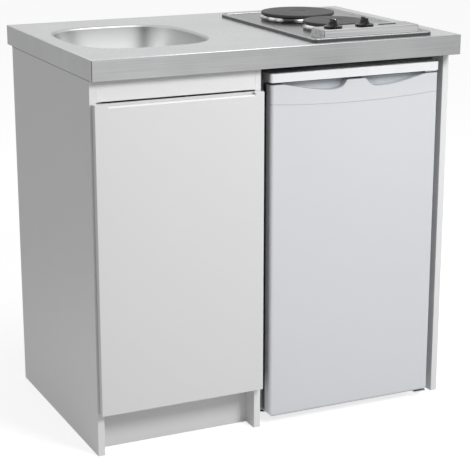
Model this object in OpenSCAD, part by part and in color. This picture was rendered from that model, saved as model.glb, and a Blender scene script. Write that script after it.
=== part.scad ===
// Compact kitchenette: stainless worktop with a drawn-in bowl, a two-plate hob,
// a sink cabinet with one door and a table-top refrigerator in the open bay.
// Millimetres. X to the right, Y to the wall, Z up. Origin on the floor, midway
// across the worktop and midway from its front edge to its back edge.

/* [Worktop] */
// Width of the whole unit
unit_w = 900; // [895:1:920]
// Depth of the worktop, front edge to wall
top_d = 600; // [598:1:610]
// Height of the worktop above the floor
top_h = 890; // [888:1:900]
// Height of the folded steel edge
apron_h = 46; // [45:1:47]
// Thickness of the stainless sheet
sheet = 1; // [0.8:0.1:1.2]
// Radius of the folded upper edges
fold_r = 3; // [2:0.5:5]

/* [Bowl] */
// Width of the bowl at its rim
bowl_w = 326; // [300:2:340]
// Length of the bowl, front to back
bowl_l = 360; // [330:2:370]
// Depth of the bowl down to its floor
bowl_deep = 150; // [140:2:155]
// Squareness of the bowl's outline: 2 is an ellipse
bowl_power = 3.1; // [2.4:0.1:4.5]
// Radius of the rolled rim
rim_r = 6; // [4:0.5:9]
// Radius between the bowl's wall and its floor
bowl_floor_r = 50; // [35:1:60]

/* [Hob] */
// Width of the hob
hob_w = 308; // [300:1:312]
// Length of the hob, front to back
hob_l = 500; // [490:1:505]
// Diameter of the rear hotplate
large_d = 180; // [170:1:182]
// Diameter of the front hotplate
small_d = 145; // [135:1:148]
// Diameter of a control knob
knob_d = 45; // [38:1:46]

/* [Sink cabinet] */
// Width of the sink cabinet over its two side panels
cab_w = 400; // [398:1:410]
// Thickness of the coated boards
board = 16; // [15:0.5:17]
// Height of the plinth
plinth_h = 100; // [80:1:100]
// Height of the door's upper edge
door_top = 794; // [780:1:794]
// Depth of the finger groove in the door's upper edge
grip_deep = 14; // [8:1:20]

/* [Refrigerator] */
// Width of the refrigerator
fr_w = 432; // [428:1:436]
// Height of the refrigerator with its top
fr_h = 828; // [820:1:832]
// Depth of the refrigerator from door face to back
fr_d = 470; // [460:1:480]
// Thickness of the door without its seal
fr_door_t = 38; // [36:1:38]
// Depth of the two finger scoops in the door's grip
scoop_drop = 20.5; // [14:0.5:24]

/* [Hidden] */

STEEL = "silver";
MELAMINE = "whitesmoke";
CHIPBOARD = "burlywood";
IRON = [0.25, 0.25, 0.26];
WHITE_PLASTIC = [0.93, 0.94, 0.95];
GREY_PLASTIC = [0.6, 0.62, 0.64];
BLACK_PLASTIC = [0.1, 0.1, 0.11];

// how far a cutting shape runs past the face it cuts
past = 1;
// gap between parts that move past each other
slip = 0.3;

// worktop
front = -top_d/2;
wall = top_d/2;
left = -unit_w/2;
right = unit_w/2;
under = top_h - apron_h;
lip_w = 14;
core_gap = 0.2;

// bowl
bowl_x = left + 199;
bowl_y = front + 298;
bowl_a = bowl_w/2;
bowl_b = bowl_l/2;
bowl_segs = 56;
wall_lean = 10;
drain_r = 46;
drain_step = 3;
drain_hole_r = 30;
drain_z = top_h - bowl_deep - 2*drain_step;
screw_r = 1.8;

// waste and trap
spigot_r = 24;
waste_bore_r = 19;
inlet_r = waste_bore_r;
pipe_r = 20;
pipe_wall = 2;
pipe_z = 610;
pipe_end = wall - 5;
pipe_stop = 30;
trap_r = 36;
trap_top = 640;
cup_top = 580;
cup_bottom = 500;

// sink cabinet
side_inset = 0.5;
panel_front = front + 21;
panel_back = wall - 38;
bay_front = front + 46;
in_left = left + side_inset + board;
mid_right = left + cab_w;
mid_left = mid_right - board;
in_right = right - side_inset - board;
rail_bottom = door_top + 3;
rail_drop = 80;
plinth_front = front + 64;
back_t = 3;
back_hole = [130, 110];

// sink cabinet door and its hinges
door_front = front + 2;
door_back = panel_front - 3;
door_t = door_back - door_front;
door_left = left + 5;
door_right = mid_right - 2;
door_bottom = plinth_h + 1;
door_edge_r = 1.5;
grip_ends = [30, 22];
grip_lip = 3.5;
grip_rear = 3;
grip_lower = 5;
grip_slope = 3;
cup_r = 17.5;
cup_wall = 0.6;
cup_depth = 12;
cup_edge = 3;
cup_x = door_left + cup_edge + cup_r;
pivot_x = door_left + 6.5;
pivot_y = door_back - 8;
pivot_pin_r = 1.1;
pivot_bore_r = 1.15;
knuckle_r = 2.2;
knuckle_half = 3;
leg_x = pivot_x + 11.2;
leg_t = 2;
hinge_heights = [door_bottom + 100, door_top - 100];

// hob
hob_x0 = left + 526;
hob_y0 = front + 16;
hob_xc = hob_x0 + hob_w/2;
hob_yc = hob_y0 + hob_l/2;
hob_corner = 14;
rim_h = 9;
rim_slope = 3;
deck_border = 12;
deck_drop = 2;
cut_w = hob_w - 24;
cut_l = hob_l - 24;
cut_r = 8;
pan_gap = 2;
pan_bottom = under - 4;
// the terminal box hangs in the gap above the refrigerator, 1 mm clear of its top
term_h = pan_bottom - fr_h - 1;
bridge_x0 = hob_x0 + 34;
bridge_w = 252;
bridge_y0 = hob_y0 + 20;
bridge_l = 66;
bridge_top = 24;
bridge_slope = 8;
bridge_r = 6;
plate_top = 21;
large_y = hob_yc + 127;
small_y = hob_yc - 59;
knob_y = bridge_y0 + 35;
knob_x = [bridge_x0 + 43, bridge_x0 + 124];
knob_z = top_h + bridge_top + 0.5;
spindle_r = 3;

// refrigerator
fr_x0 = left + 423;
fr_x1 = fr_x0 + fr_w;
fr_xc = fr_x0 + fr_w/2;
fr_front = front + 20;
fr_back = fr_front + fr_d;
fr_door_back = fr_front + fr_door_t;
seal_t = 10;
cab_front = fr_door_back + seal_t + slip;
fr_top_t = 20;
cab_top = fr_h - fr_top_t;
cab_bottom = 20;
skin = 1;
liner_t = 1.5;
hold_x0 = fr_x0 + 37;
hold_x1 = fr_x1 - 37;
hold_z0 = 62;
hold_z1 = cab_top - 32;
hold_back = fr_back - 40;
step_y = -5;
step_z = 262;
niche_y = 30;
niche_z = 230;
rib_w = 6;
shelf_z = [390, 520];
shelf_y = [-110, hold_back - 2];
fr_door_bottom = 18;
fr_door_top = cab_top - 5;
fr_edge_r = 8;
fr_corner_r = 15;
seam_mid = 751;
seam_rise = 9;
seam_gap = 0.6;
seam_r = (pow(fr_w/2, 2) + pow(seam_rise, 2))/(2*seam_rise);
scoop_deep = 20;
fr_pin_x = fr_x1 - 14;
fr_pin_y = fr_front + 15;
fr_pin_r = 4;
fr_bore_r = 4.05;
pin_len = 14;
socket_r = 7;
seal_inset = 17;
seal_w = 12;
rack_z = [92, 320, 480];
rack_h = [72, 52, 52];
rack_depth = 64;
ice_front = -105;
ice_z0 = 655;
flap_pin_y = ice_front - 4;
flap_pin_z = hold_z1 - 10;
crisper_top = step_z - 12;

// ---------------------------------------------------------------- shared forms

module rounded_rect(w, l, r) {
  square([w - 2*r, l], center = true);
  square([w, l - 2*r], center = true);
  for (sx = [-1, 1], sy = [-1, 1])
    translate([sx*(w/2 - r), sy*(l/2 - r)]) circle(r, $fn = 48);
}

// outline with its two upper corners rounded
module rolled_top(w, h, r) {
  translate([-w/2, 0]) square([w, h - r]);
  translate([-w/2 + r, 0]) square([w - 2*r, h]);
  for (s = [-1, 1]) translate([s*(w/2 - r), h - r]) circle(r, $fn = 48);
}

// block whose four upper edges are rolled over, mitred at the corners
module rolled_block(w, d, h, r) {
  intersection() {
    rotate([90, 0, 90]) linear_extrude(w, center = true) rolled_top(d, h, r);
    rotate([90, 0, 0]) linear_extrude(d, center = true) rolled_top(w, h, r);
  }
}

// slab with its four upright edges rounded, from z0 to z1
module slab(x0, x1, y0, y1, z0, z1, r = 1) {
  translate([(x0 + x1)/2, (y0 + y1)/2, z0])
    linear_extrude(z1 - z0) rounded_rect(x1 - x0, y1 - y0, r);
}

module block(x0, x1, y0, y1, z0, z1) {
  translate([x0, y0, z0]) cube([x1 - x0, y1 - y0, z1 - z0]);
}

module post(x, y, z0, z1, r, fn = 48) {
  translate([x, y, z0]) cylinder(r = r, h = z1 - z0, $fn = fn);
}

// round bar along Y
module bar_y(x, y0, y1, z, r, fn = 48) {
  translate([x, y0, z]) rotate([-90, 0, 0]) cylinder(r = r, h = y1 - y0, $fn = fn);
}

// round bar along X
module bar_x(x0, x1, y, z, r, fn = 48) {
  translate([x0, y, z]) rotate([0, 90, 0]) cylinder(r = r, h = x1 - x0, $fn = fn);
}

// ---------------------------------------------------------------- worktop and bowl

function soft_power(v, p) = sign(v)*pow(abs(v), p);

// one level of the bowl: a rounded outline with half-axes a and b at height z
function bowl_ring(a, b, n, z) =
  [for (i = [0:bowl_segs - 1])
    let (t = 360*i/bowl_segs)
    [bowl_x + a*soft_power(cos(t), 2/n), bowl_y + b*soft_power(sin(t), 2/n), top_h + z]];

function inset_ring(inset, z) = bowl_ring(bowl_a - inset, bowl_b - inset, bowl_power, z);

// the bowl's section from rim to drain hole; o is the distance behind the inner face
function bowl_levels(o) =
  let (floor_in = rim_r + wall_lean + bowl_floor_r,
       heel = bowl_deep - bowl_floor_r)
  concat(
    [for (t = [0:22.5:90]) inset_ring((rim_r - o)*sin(t), -rim_r + (rim_r - o)*cos(t))],
    [for (t = [0:15:90])
      inset_ring(floor_in - (bowl_floor_r + o)*cos(t), -heel - (bowl_floor_r + o)*sin(t))],
    [for (s = [0.5, 1])
      bowl_ring((bowl_a - floor_in)*(1 - s) + (drain_r + o)*s,
                (bowl_b - floor_in)*(1 - s) + (drain_r + o)*s,
                bowl_power*(1 - s) + 2*s, -bowl_deep - drain_step*s - o)],
    [bowl_ring(drain_r - 2.5 + o, drain_r - 2.5 + o, 2, -bowl_deep - 2*drain_step - o),
     bowl_ring(drain_hole_r, drain_hole_r, 2, -bowl_deep - 2*drain_step - o)]);

function backwards(list) = [for (i = [len(list) - 1:-1:0]) list[i]];

module sink_bowl() {
  levels = concat(bowl_levels(0), backwards(bowl_levels(sheet)));
  n = len(levels);
  points = [for (level = levels) for (p = level) p];
  faces = [for (k = [0:n - 1]) for (i = [0:bowl_segs - 1])
    let (a = k*bowl_segs + i, b = k*bowl_segs + (i + 1)%bowl_segs,
         d = ((k + 1)%n)*bowl_segs + i, c = ((k + 1)%n)*bowl_segs + (i + 1)%bowl_segs)
    for (tri = [[a, d, c], [a, c, b]]) tri];
  color(STEEL) polyhedron(points = points, faces = faces, convexity = 6);
}

module bowl_outline(grow) {
  polygon([for (p = inset_ring(-grow, 0)) [p[0], p[1]]]);
}

module hob_cutout(z0, z1) {
  translate([hob_xc, hob_yc, z0]) linear_extrude(z1 - z0) rounded_rect(cut_w, cut_l, cut_r);
}

// folded stainless skin: top, four aprons and a lip turned in under the board
module worktop() {
  color(STEEL) difference() {
    translate([0, 0, under]) rolled_block(unit_w, top_d, apron_h, fold_r);
    translate([0, 0, under + sheet])
      rolled_block(unit_w - 2*sheet, top_d - 2*sheet, apron_h - 2*sheet, fold_r - sheet);
    block(left + lip_w, right - lip_w, front + lip_w, wall - lip_w, under - past, under + 2*sheet);
    translate([0, 0, under]) linear_extrude(apron_h + past) bowl_outline(0);
    hob_cutout(under - past, top_h + past);
  }
}

module worktop_core() {
  color(CHIPBOARD) difference() {
    translate([0, 0, under + sheet])
      rolled_block(unit_w - 2*(sheet + core_gap), top_d - 2*(sheet + core_gap),
                   apron_h - 2*sheet, fold_r);
    translate([0, 0, under]) linear_extrude(apron_h) bowl_outline(3);
    hob_cutout(under, top_h);
  }
}

// ---------------------------------------------------------------- waste and trap

module waste_flange() {
  color(STEEL) translate([bowl_x, bowl_y, drain_z]) {
    rotate_extrude($fn = 64)
      polygon([[24, -10], [26.5, -10], [26.5, 0], [41, 0], [41.5, 0.6], [39.5, 1.8], [29, 1.6],
               [26, -0.5], [24.6, -3.5], [24, -4.5]]);
    difference() {
      translate([0, 0, -6]) cylinder(r = 24.5, h = 1.5, $fn = 64);
      translate([0, 0, -7]) cylinder(r = screw_r + 0.1, h = 4, $fn = 24);
      for (ring = [[7.5, 7], [13.5, 14], [19.5, 21]], i = [0:ring[1] - 1])
        rotate(360*i/ring[1]) translate([ring[0], 0, -7]) cylinder(r = 1.9, h = 4, $fn = 24);
    }
  }
}

module waste_seal() {
  color(BLACK_PLASTIC) translate([bowl_x, bowl_y, drain_z - sheet - 3]) difference() {
    cylinder(r = 41, h = 3, $fn = 64);
    translate([0, 0, -past]) cylinder(r = 28, h = 3 + 2*past, $fn = 64);
  }
}

module waste_body() {
  seat = drain_z - sheet - 3;
  color(WHITE_PLASTIC) translate([bowl_x, bowl_y, 0]) {
    difference() {
      union() {
        translate([0, 0, seat - 4]) cylinder(r = 41, h = 4, $fn = 64);
        translate([0, 0, seat - 20]) cylinder(r1 = spigot_r, r2 = 33, h = 16, $fn = 64);
        translate([0, 0, 676]) cylinder(r = spigot_r, h = seat - 20 - 676, $fn = 64);
      }
      translate([0, 0, seat - 9]) cylinder(r = 27, h = 9 + past, $fn = 64);
      translate([0, 0, seat - 19]) cylinder(r1 = waste_bore_r, r2 = 27, h = 10, $fn = 64);
      translate([0, 0, 675]) cylinder(r = waste_bore_r, h = seat - 18.9 - 675, $fn = 64);
    }
    difference() {
      union() {
        translate([0, 0, 704]) cylinder(r = 5.5, h = 8, $fn = 32);
        translate([-waste_bore_r - 1, -1.5, 704]) cube([2*waste_bore_r + 2, 3, 5]);
      }
      translate([0, 0, 703]) cylinder(r = screw_r, h = 10, $fn = 24);
    }
  }
}

module waste_screw() {
  color(STEEL) translate([bowl_x, bowl_y, 0]) {
    translate([0, 0, 704]) cylinder(r = screw_r, h = drain_z - 4.5 - 704, $fn = 24);
    translate([0, 0, drain_z - 4.5]) cylinder(r1 = 5, r2 = 3.4, h = 2, $fn = 32);
  }
}

// bottle trap: inlet tube, shoulder and side outlet
module trap_body() {
  color(WHITE_PLASTIC) difference() {
    union() {
      post(bowl_x, bowl_y, 590, 698, inlet_r, 64);
      translate([bowl_x, bowl_y, trap_top - 12]) cylinder(r1 = trap_r, r2 = 27, h = 12, $fn = 64);
      post(bowl_x, bowl_y, cup_top, trap_top - 12, trap_r, 64);
      post(bowl_x, bowl_y, cup_top - 14, cup_top, trap_r - 3, 64);
      bar_y(bowl_x, bowl_y, bowl_y + 62, pipe_z, pipe_r + 3, 64);
    }
    difference() {
      post(bowl_x, bowl_y, cup_top - 15, trap_top - 14, trap_r - 6, 64);
      post(bowl_x, bowl_y, 589, trap_top, inlet_r, 64);
    }
    post(bowl_x, bowl_y, 589, 699, inlet_r - pipe_wall, 64);
    bar_y(bowl_x, bowl_y + 27, bowl_y + 63, pipe_z, pipe_r, 64);
  }
}

module trap_cup() {
  color(WHITE_PLASTIC) translate([bowl_x, bowl_y, 0]) {
    difference() {
      rotate_extrude($fn = 64)
        polygon([[0, cup_bottom], [24, cup_bottom], [32, cup_bottom + 8], [trap_r - 2, cup_bottom + 22],
                 [trap_r, cup_top - 16], [trap_r + 4, cup_top - 16], [trap_r + 4, cup_top - 0.2],
                 [0, cup_top - 0.2]]);
      translate([0, 0, cup_bottom + 10]) cylinder(r = trap_r - 8, h = 100, $fn = 64);
      translate([0, 0, cup_top - 14.2]) cylinder(r = trap_r - 3, h = 20, $fn = 64);
    }
    for (i = [0:11]) rotate(30*i) translate([trap_r + 3.5, -2, cup_top - 15]) cube([2.5, 4, 13]);
  }
}

module ribbed_nut(r_in, r_out, h) {
  difference() {
    union() {
      cylinder(r = r_out, h = h, $fn = 64);
      for (i = [0:9]) rotate(36*i) translate([r_out - 1, -2, 1]) cube([3, 4, h - 2]);
    }
    translate([0, 0, -past]) cylinder(r = r_in, h = h + 2*past, $fn = 64);
  }
}

module trap_nuts() {
  color(WHITE_PLASTIC) {
    translate([bowl_x, bowl_y, 676]) ribbed_nut(spigot_r, spigot_r + 4, 16);
    translate([bowl_x, bowl_y + 44, pipe_z]) rotate([-90, 0, 0])
      ribbed_nut(pipe_r + 3, pipe_r + 7, 17);
  }
}

// pipe to the wall, with a bead that stops its socket
module outlet_pipe() {
  color(WHITE_PLASTIC) difference() {
    union() {
      bar_y(bowl_x, bowl_y + 27, pipe_end, pipe_z, pipe_r, 64);
      bar_y(bowl_x, pipe_end - pipe_stop - 3, pipe_end - pipe_stop, pipe_z, pipe_r + 2.5, 64);
    }
    bar_y(bowl_x, bowl_y + 26, pipe_end + past, pipe_z, pipe_r - pipe_wall, 64);
  }
}

// ---------------------------------------------------------------- sink cabinet

module left_panel() {
  color(MELAMINE) slab(left + side_inset, in_left, panel_front, panel_back, 0, under);
}

module middle_panel() {
  color(MELAMINE) slab(mid_left, mid_right, panel_front, panel_back, 0, under);
}

module right_panel() {
  color(MELAMINE) slab(in_right, right - side_inset, bay_front, panel_back, 0, under);
}

module bottom_panel() {
  color(MELAMINE) block(in_left, mid_left, panel_front, panel_back, plinth_h, plinth_h + board);
}

module front_rail() {
  color(MELAMINE) block(in_left, mid_left, panel_front, panel_front + board, rail_bottom, under);
}

module back_rail() {
  color(MELAMINE) block(in_left, mid_left, panel_back - board, panel_back, under - rail_drop, under);
}

module bay_rail() {
  color(MELAMINE) block(mid_right, in_right, panel_back - board, panel_back,
                        under - rail_drop, under);
}

module plinth() {
  color(MELAMINE) block(in_left, mid_left, plinth_front, plinth_front + board, 0, plinth_h);
}

// thin back sheet, let out round the waste pipe
module back_panel() {
  color(MELAMINE) difference() {
    block(left + 6, mid_right - 4, panel_back, panel_back + back_t, plinth_h, under - 6);
    translate([bowl_x, panel_back - past, pipe_z]) rotate([-90, 0, 0])
      linear_extrude(back_t + 2*past) rounded_rect(back_hole[0], back_hole[1], 12);
  }
}

// pressed angle brackets that hold the panels to the worktop board
module worktop_brackets() {
  leg = 25;
  t = 1.5;
  half = 9;
  color(STEEL)
    for (side = [[in_left, 1], [mid_left, -1], [in_right, -1]], y = [-200, 200])
      translate([side[0], y, under + sheet]) mirror([side[1] < 0 ? 1 : 0, 0, 0])
        difference() {
          rotate([90, 0, 0]) linear_extrude(2*half, center = true)
            polygon([[0, 0], [leg, 0], [leg, -t], [t + 4, -t], [t, -t - 4], [t, -leg], [0, -leg]]);
          post(leg - 8, 0, -t - past, past, 2.6, 24);
          bar_x(-past, t + past, 0, 8 - leg, 2.6, 24);
        }
}

// ---------------------------------------------------------------- door and hinges

// door board with a finger groove along its upper edge and two hinge bores
module sink_door() {
  x0 = door_left + grip_ends[0];
  x1 = door_right - grip_ends[1];
  color(MELAMINE) difference() {
    slab(door_left, door_right, door_front, door_back, door_bottom, door_top, door_edge_r);
    block(x0, x1, door_front - past, door_back - grip_rear, door_top - grip_lower, door_top + past);
    block(x0, x1, door_front + grip_lip, door_back - grip_rear, door_top - grip_deep,
          door_top + past);
    translate([x0, door_front, door_top - grip_lower - grip_slope]) rotate([90, 0, 90])
      linear_extrude(x1 - x0)
        polygon([[-past, -past], [grip_slope + past, grip_slope + past], [-past, grip_slope + past]]);
    for (z = hinge_heights) bar_y(cup_x, door_back - cup_depth, door_back + past, z, cup_r, 64);
  }
}

// mounting plates on the cabinet's side, under the hinge arms
module hinge_plates() {
  color(STEEL) for (z = hinge_heights) difference() {
    translate([in_left, panel_front + 38, z]) rotate([90, 0, 90]) linear_extrude(leg_x - in_left) {
      rounded_rect(40, 12, 3);
      rounded_rect(14, 44, 5);
    }
    for (s = [-1, 1])
      bar_x(in_left + 2, leg_x + past, panel_front + 38, z + s*16, 3.2, 32);
  }
}

// cranked arms: knuckle in the cup, neck, leg and the bar on the mounting plate
module hinge_arms() {
  leg_back = panel_front + 4;
  color(STEEL) for (z = hinge_heights) {
    difference() {
      union() {
        post(pivot_x, pivot_y, z - knuckle_half, z + knuckle_half, knuckle_r, 48);
        block(pivot_x, leg_x + leg_t, pivot_y - knuckle_r, pivot_y - knuckle_r + leg_t,
              z - knuckle_half, z + knuckle_half);
        block(leg_x, leg_x + leg_t, pivot_y - knuckle_r, leg_back,
              z - knuckle_half, z + knuckle_half);
        translate([leg_x, leg_back + 28, z]) rotate([90, 0, 90]) linear_extrude(4)
          rounded_rect(60, 11, 2);
      }
      post(pivot_x, pivot_y, z - 4, z + 4, pivot_bore_r, 48);
      bar_x(leg_x + 2, leg_x + 5, panel_front + 38, z, 3.5, 32);
      bar_x(leg_x + 2, leg_x + 5, panel_front + 52, z, 2.5, 32);
    }
  }
}

// steel cups pressed into the door, each with its flange and pivot pin
module hinge_cups() {
  color(STEEL) for (z = hinge_heights) {
    difference() {
      union() {
        bar_y(cup_x, door_back - cup_depth, door_back + 1, z, cup_r, 64);
        translate([cup_x, door_back + 1, z]) rotate([90, 0, 0]) linear_extrude(1)
          rounded_rect(30, 52, 6);
      }
      bar_y(cup_x, door_back - cup_depth + cup_wall, door_back + 2, z, cup_r - cup_wall, 64);
    }
    intersection() {
      bar_y(cup_x, door_back - cup_depth + cup_wall/2, door_back, z, cup_r - cup_wall/2, 64);
      union() {
        post(pivot_x, pivot_y, z - 20, z + 20, pivot_pin_r, 48);
        for (s = [-1, 1]) translate([pivot_x - 0.9, pivot_y, z + 9.2*s])
          cube([6.2, 4.4, 10], center = true);
      }
    }
  }
}

// clear stops on the door's inner face, where it meets the middle panel
module door_bumpers() {
  color(WHITE_PLASTIC) for (z = [door_bottom + 40, door_top - 40])
    translate([mid_right - 8, door_back, z]) rotate([-90, 0, 0])
      cylinder(r1 = 4.5, r2 = 3.5, h = 3 - slip, $fn = 32);
}

// ---------------------------------------------------------------- hob

// frame of the pressed hob top: a rounded slab that narrows towards its top
module hob_tier(x0, x1, y0, y1, z0, z1, r, slope) {
  w = x1 - x0;
  l = y1 - y0;
  translate([(x0 + x1)/2, (y0 + y1)/2, 0]) hull() {
    translate([0, 0, z0]) linear_extrude(0.01) rounded_rect(w, l, r, $fn = 32);
    translate([0, 0, z1 - slope/2]) linear_extrude(0.01) rounded_rect(w, l, r, $fn = 32);
    translate([0, 0, z1 - 0.01]) linear_extrude(0.01)
      rounded_rect(w - slope, l - slope, max(r - slope/2, 1), $fn = 32);
  }
}

module hob_form(t) {
  difference() {
    hob_tier(hob_x0 + t, hob_x0 + hob_w - t, hob_y0 + t, hob_y0 + hob_l - t,
             top_h - (t > 0 ? past : 0), top_h + rim_h - t, hob_corner - t, rim_slope);
    translate([hob_xc, hob_yc, top_h + rim_h - deck_drop - t]) linear_extrude(20)
      rounded_rect(hob_w - 2*(deck_border - t), hob_l - 2*(deck_border - t), 6 + t);
  }
  translate([bridge_x0 + bridge_w/2, bridge_y0 + bridge_l/2, top_h]) hull() {
    translate([0, 0, rim_h - deck_drop - t - 0.5]) linear_extrude(0.01)
      rounded_rect(bridge_w - 2*t, bridge_l - 2*t, bridge_r);
    translate([0, 0, bridge_top - t - 0.01]) linear_extrude(0.01)
      rounded_rect(bridge_w - 2*t - bridge_slope, bridge_l - 2*t - bridge_slope, bridge_r);
  }
}

module hob_plate() {
  color(STEEL) difference() {
    hob_form(0);
    hob_form(1);
    post(hob_xc, large_y, top_h, top_h + rim_h + past, large_d/2 - 8, 64);
    post(hob_xc, small_y, top_h, top_h + rim_h + past, small_d/2 - 8, 64);
    for (x = knob_x) post(x, knob_y, top_h, top_h + bridge_top + past, spindle_r + 1.5, 32);
  }
}

module hob_underpan() {
  w = cut_w - 2*pan_gap;
  l = cut_l - 2*pan_gap;
  color(STEEL) difference() {
    translate([hob_xc, hob_yc, pan_bottom]) linear_extrude(top_h + rim_h - deck_drop - 1 - pan_bottom)
      rounded_rect(w, l, cut_r - pan_gap);
    translate([hob_xc, hob_yc, pan_bottom + 1]) linear_extrude(200)
      rounded_rect(w - 2, l - 2, cut_r - pan_gap - 1);
  }
}

// cast plate: a heavy disc with a shallow eye, fine turned rings and a spigot below
module hotplate(r) {
  groove_r = [for (k = [1:4]) 26 + k*(r - 34)/5];
  difference() {
    rotate_extrude($fn = 96)
      polygon([[0, 6], [r - 10, 6], [r - 9, 14], [r - 1.2, 14], [r, 15.2], [r, 19.8],
               [r - 1.2, plate_top], [23, plate_top], [21, plate_top - 1.2], [0, plate_top - 1.2]]);
    for (g = groove_r) rotate_extrude($fn = 96)
      polygon([[g - 0.6, plate_top + past], [g - 0.6, plate_top - 0.4], [g + 0.6, plate_top - 0.4],
               [g + 0.6, plate_top + past]]);
  }
}

module hotplate_large() {
  color(IRON) translate([hob_xc, large_y, top_h]) hotplate(large_d/2);
}

module hotplate_small() {
  color(IRON) translate([hob_xc, small_y, top_h]) hotplate(small_d/2);
}

// bright rings between the cast plates and the hob top
module plate_ring(r) {
  foot = rim_h - deck_drop;
  rotate_extrude($fn = 96)
    polygon([[r - 7.5, foot], [r + 4, foot], [r + 3.6, foot + 1.4], [r + 1.2, foot + 1.8],
             [r - 3, foot + 7], [r - 7.5, foot + 7]]);
}

module hotplate_rings() {
  color(STEEL) {
    translate([hob_xc, large_y, top_h]) plate_ring(large_d/2);
    translate([hob_xc, small_y, top_h]) plate_ring(small_d/2);
  }
}

module hob_switches() {
  top = top_h + bridge_top - 1;
  color(BLACK_PLASTIC) for (x = knob_x) difference() {
    union() {
      slab(x - 18, x + 18, knob_y - 18, knob_y + 18, top - 27, top - 3, 3);
      post(x, knob_y, top - 3, top, 8, 32);
    }
    post(x, knob_y, top - 16, top + past, spindle_r + 0.05, 48);
  }
}

module hob_lamp() {
  color("firebrick")
    slab(bridge_x0 + 161, bridge_x0 + 207, knob_y - 3.5, knob_y + 3.5, top_h + bridge_top,
         top_h + bridge_top + 1, 3);
}

module hob_terminal_box() {
  color(BLACK_PLASTIC) difference() {
    slab(hob_xc - 40, hob_xc + 20, 130, 180, pan_bottom - term_h, pan_bottom, 3);
    bar_y(hob_xc - 10, 160, 181, pan_bottom - term_h/2, term_h/2 - 1.75, 32);
  }
}

// knob with a skirt, a grip bar and a spindle that runs down into its switch
module hob_knob() {
  r = knob_d/2;
  union() {
    rotate_extrude($fn = 64)
      polygon([[0, 0], [r - 1, 0], [r, 1], [r, 3], [r - 2, 5], [r - 5.5, 6.5], [r - 8, 9.5],
               [r - 9, 12.5], [r - 10.5, 14], [0, 14]]);
    translate([0, 0, 13]) linear_extrude(6) rounded_rect(8, knob_d - 14, 3.9);
    translate([0, 0, -14]) cylinder(r = spindle_r, h = 15, $fn = 48);
  }
}

module hob_knob_left() {
  color(BLACK_PLASTIC) translate([knob_x[0], knob_y, knob_z]) hob_knob();
}

module hob_knob_right() {
  color(BLACK_PLASTIC) translate([knob_x[1], knob_y, knob_z]) hob_knob();
}

// ---------------------------------------------------------------- refrigerator cabinet

// room for the compressor at the foot of the back
module niche(grow) {
  block(fr_x0 - past, fr_x1 + past, niche_y - grow, fr_back + past, cab_bottom - past,
        niche_z + grow);
}

module shell_inside() {
  difference() {
    block(fr_x0 + skin, fr_x1 - skin, cab_front + skin, fr_back - skin, cab_bottom + skin,
          cab_top - skin);
    niche(skin);
  }
}

// the cold hold grown by g on every side but its open front
module hold(g) {
  difference() {
    block(hold_x0 - g, hold_x1 + g, cab_front - past, hold_back + g, hold_z0 - g, hold_z1 + g);
    block(hold_x0 - 2*g - past, hold_x1 + 2*g + past, step_y + g, hold_back + g + past,
          hold_z0 - g - past, step_z - g);
  }
}

module fridge_cabinet() {
  color(WHITE_PLASTIC) difference() {
    translate([fr_xc, cab_front, 0]) difference() {
      translate([-fr_w/2, 0, cab_bottom])
        cube([fr_w, fr_back - cab_front, cab_top - cab_bottom]);
      translate([-fr_xc, -cab_front, 0])
        block(fr_x0 + skin, fr_x1 - skin, niche_y, fr_back + past, cab_bottom - past, niche_z);
    }
    shell_inside();
    hold(liner_t);
  }
}

module fridge_foam() {
  color("khaki") difference() {
    shell_inside();
    hold(liner_t);
  }
}

module fridge_liner() {
  color(WHITE_PLASTIC) {
    difference() {
      intersection() {
        hold(liner_t);
        block(fr_x0, fr_x1, cab_front, fr_back, cab_bottom, cab_top);
      }
      hold(0);
    }
    for (z = shelf_z, x = [hold_x0, hold_x1 - rib_w])
      block(x, x + rib_w, shelf_y[0], shelf_y[1], z - 6, z);
    for (x = [hold_x0, hold_x1 - rib_w]) block(x, x + rib_w, -120, step_y, step_z - 6, step_z);
  }
}

module fridge_top() {
  w = fr_w + 3;
  d = fr_d + 3;
  color(WHITE_PLASTIC) translate([fr_xc, fr_front - 1 + d/2, cab_top]) intersection() {
    rolled_block(w, d, fr_top_t, 3);
    linear_extrude(fr_top_t) rounded_rect(w, d, fr_edge_r);
  }
}

module fridge_base() {
  color(STEEL)
    block(fr_x0 + skin, fr_x1 - skin, niche_y, fr_back, cab_bottom, cab_bottom + 2);
}

module fridge_feet() {
  color(BLACK_PLASTIC)
    for (x = [fr_x0 + 30, fr_x1 - 50], y = [cab_front + 45, fr_back - 30]) {
      post(x, y, 0, 9, 15);
      post(x, y, 9, cab_bottom, 5);
    }
}

// pot compressor on its rubber feet, with relay box and pipe stub
module compressor() {
  x = fr_xc;
  y = 112;
  z = cab_bottom + 2;
  color(BLACK_PLASTIC) {
    translate([x, y, z + 10]) rotate_extrude($fn = 64)
      polygon([[0, 0], [52, 0], [62, 6], [68, 16], [70, 30], [70, 66], [71.5, 67], [71.5, 71],
               [70, 72], [68, 92], [62, 110], [50, 124], [32, 133], [0, 137]]);
    for (sx = [-1, 1], sy = [-1, 1]) post(x + sx*55, y + sy*42, z, z + 20, 10, 32);
    slab(x - 92, x - 62, y - 28, y + 28, z + 48, z + 108, 4);
  }
}

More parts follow.
